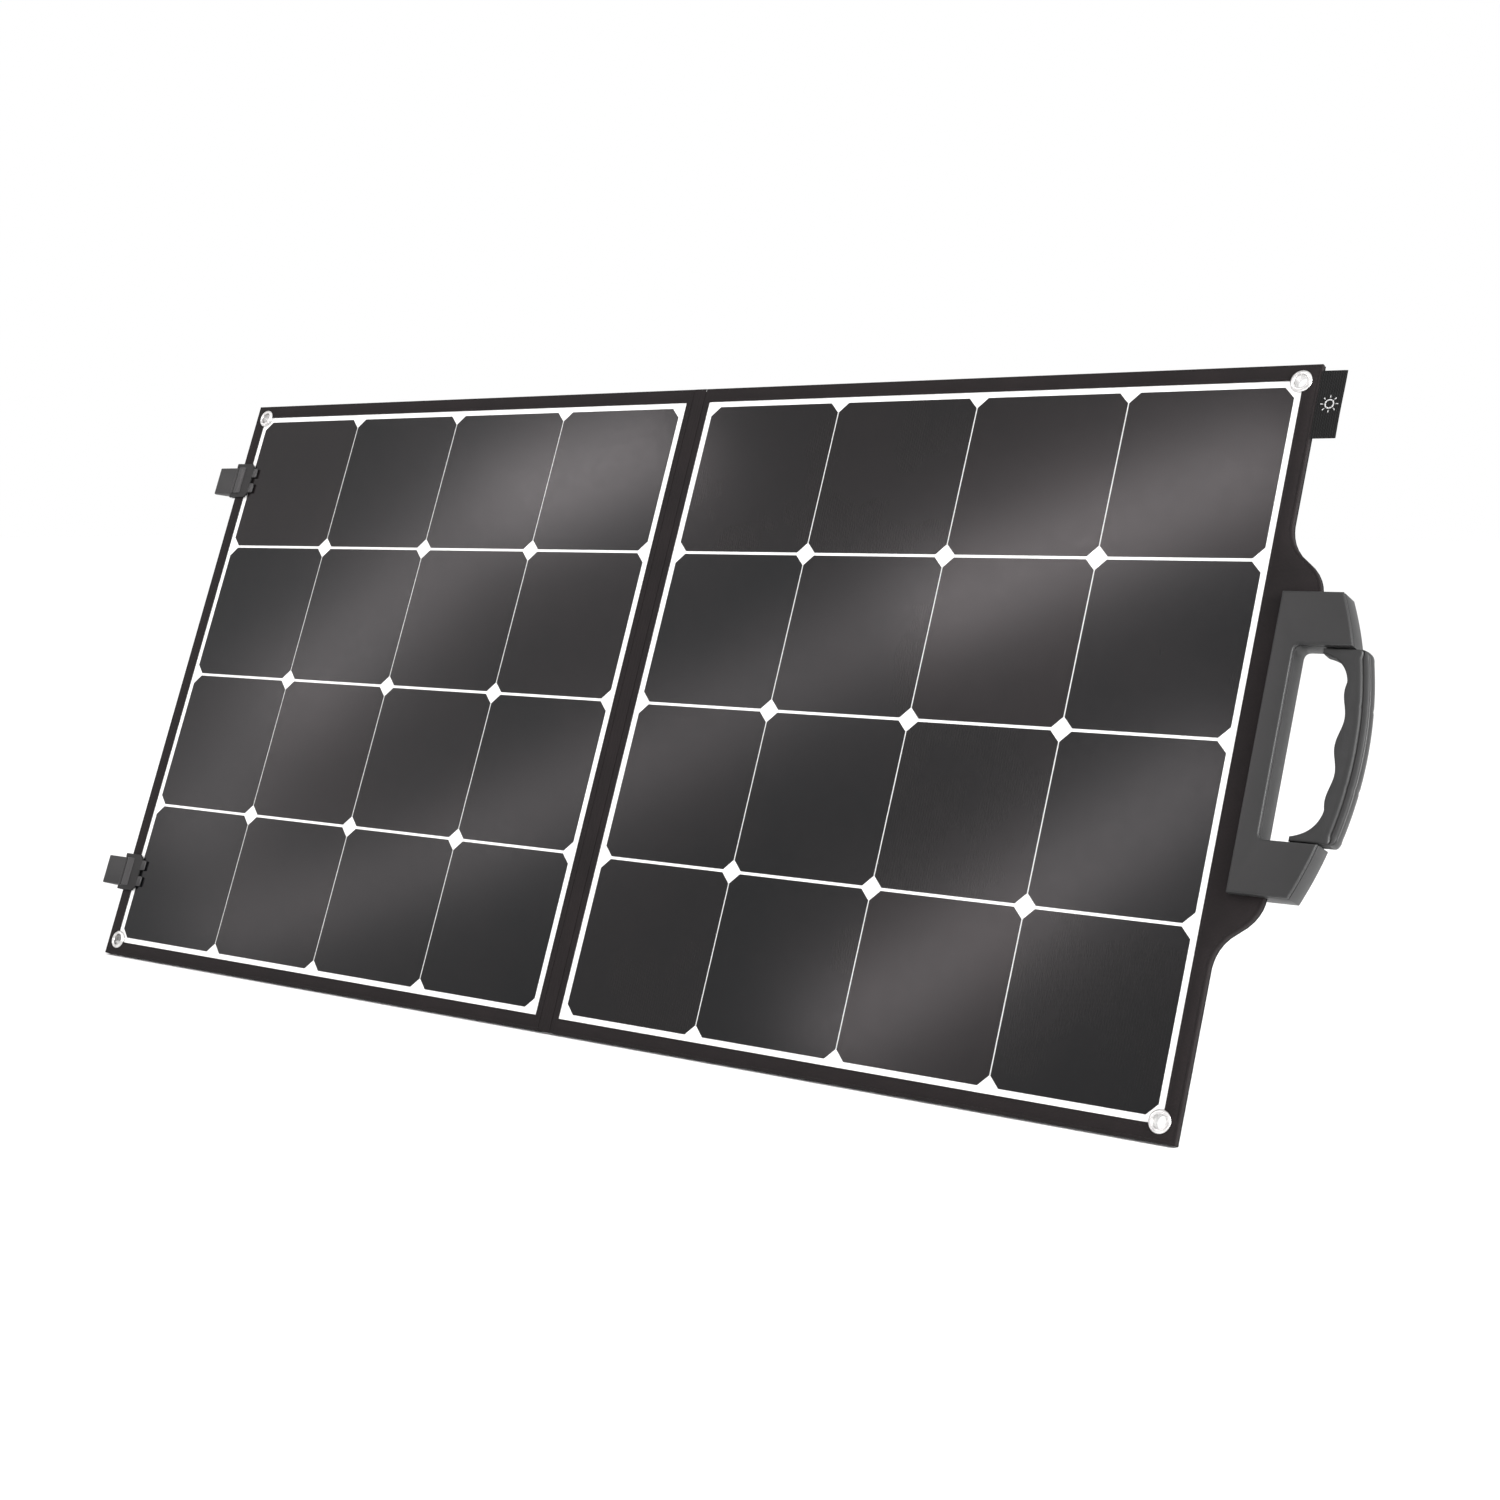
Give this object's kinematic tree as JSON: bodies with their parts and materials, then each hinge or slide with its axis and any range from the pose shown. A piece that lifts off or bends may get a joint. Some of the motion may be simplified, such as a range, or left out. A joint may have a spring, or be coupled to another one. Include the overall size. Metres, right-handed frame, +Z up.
{
  "type": "folding solar panel",
  "caption": "Two-leaf folding solar panel with a side carrying handle, hinged clip latches and a kickstand behind each leaf, standing open.",
  "frame": {"origin": "on the ground under the middle of the bounding box, the panel standing open", "axes": "+Z up, +X along the panel towards the handle, the cells face -Y and upwards"},
  "size_m": [1.1914, 0.2658, 0.5032],
  "materials": {
    "border_fabric": "woven",
    "cover_fabric": "woven",
    "silicon": "satin film over dark cells",
    "backsheet": "satin",
    "fibreboard": "matte",
    "grey_plastic": "satin, fine grain",
    "dark_plastic": "satin, fine grain",
    "nickel": "bright",
    "steel": "plain",
    "rubber": "matte",
    "webbing": "ribbed",
    "copper": "tinned",
    "circuit": "lacquered"
  },
  "bodies": {
    "right_leaf": {"right_border": "border_fabric", "fold_front_strip": "border_fabric", "right_back_cover": "cover_fabric", "fold_back_strip": "cover_fabric", "storage_pocket": "cover_fabric", "right_cell_string_1": "silicon", "right_cell_string_2": "silicon", "right_cell_string_3": "silicon", "right_cell_string_4": "silicon", "right_laminate": "backsheet", "right_board": "fibreboard", "handle_body": "grey_plastic", "handle_front_shell": "grey_plastic", "right_stand_hinge": "dark_plastic", "junction_box_base": "dark_plastic", "junction_box_lid": "dark_plastic", "output_socket": "dark_plastic", "right_lower_eyelet": "nickel", "right_lower_eyelet_washer": "nickel", "right_upper_eyelet": "nickel", "right_upper_eyelet_washer": "nickel", "handle_screw_1": "steel", "handle_screw_2": "steel", "handle_screw_3": "steel", "handle_screw_4": "steel", "upper_grip_pin": "steel", "lower_grip_pin": "steel", "right_stand_pin": "steel", "label_tab": "webbing", "right_stand_strap": "webbing", "fold_conductor": "copper", "junction_board": "circuit"},
    "left_leaf": {"left_border": "border_fabric", "left_back_cover": "cover_fabric", "left_cell_string_1": "silicon", "left_cell_string_2": "silicon", "left_cell_string_3": "silicon", "left_cell_string_4": "silicon", "left_laminate": "backsheet", "left_board": "fibreboard", "upper_latch_base": "dark_plastic", "lower_latch_base": "dark_plastic", "left_stand_hinge": "dark_plastic", "left_lower_eyelet": "nickel", "left_lower_eyelet_washer": "nickel", "left_upper_eyelet": "nickel", "left_upper_eyelet_washer": "nickel", "upper_latch_pin": "steel", "lower_latch_pin": "steel", "left_stand_pin": "steel", "left_stand_strap": "webbing"},
    "left_stand": {"left_stand_leg": "cover_fabric", "left_stand_foot": "rubber"},
    "right_stand": {"right_stand_leg": "cover_fabric", "right_stand_foot": "rubber"},
    "upper_latch": {"upper_latch_flap": "dark_plastic"},
    "lower_latch": {"lower_latch_flap": "dark_plastic"},
    "grip": {"grip_back_shell": "grey_plastic", "grip_front_shell": "grey_plastic"},
    "zip": {"zip_slider": "nickel"}
  },
  "joints": [
    {"name": "fold", "type": "hinge", "parent": "right_leaf", "child": "left_leaf", "pos_m": [-0.02375, -0.03588, 0.25352], "axis": [0, 0.3681, 0.9298], "range_deg": [0, 180], "deforming": ["fold_front_strip", "fold_back_strip", "fold_conductor"]},
    {"name": "left_stand_hinge", "type": "hinge", "parent": "left_leaf", "child": "left_stand", "pos_m": [-0.26375, 0.02378, 0.37025], "axis": [-1, 0, 0], "range_deg": [0, 37], "deforming": ["left_stand_strap"]},
    {"name": "right_stand_hinge", "type": "hinge", "parent": "right_leaf", "child": "right_stand", "pos_m": [0.21625, 0.02378, 0.37025], "axis": [-1, 0, 0], "range_deg": [0, 37], "deforming": ["right_stand_strap"]},
    {"name": "upper_latch_hinge", "type": "hinge", "parent": "left_leaf", "child": "upper_latch", "pos_m": [-0.56925, 0.0374, 0.43208], "axis": [0, 0.3681, 0.9298], "range_deg": [0, 100]},
    {"name": "lower_latch_hinge", "type": "hinge", "parent": "left_leaf", "child": "lower_latch", "pos_m": [-0.56925, -0.1047, 0.07319], "axis": [0, 0.3681, 0.9298], "range_deg": [0, 100]},
    {"name": "grip_swivel", "type": "hinge", "parent": "right_leaf", "child": "grip", "pos_m": [0.56625, -0.02937, 0.25094], "axis": [0, 0.3681, 0.9298], "range_deg": [-60, 60]},
    {"name": "zip_travel", "type": "slide", "parent": "right_leaf", "child": "zip", "axis": [1, 0, 0], "range_m": [0, 0.125]}
  ]
}
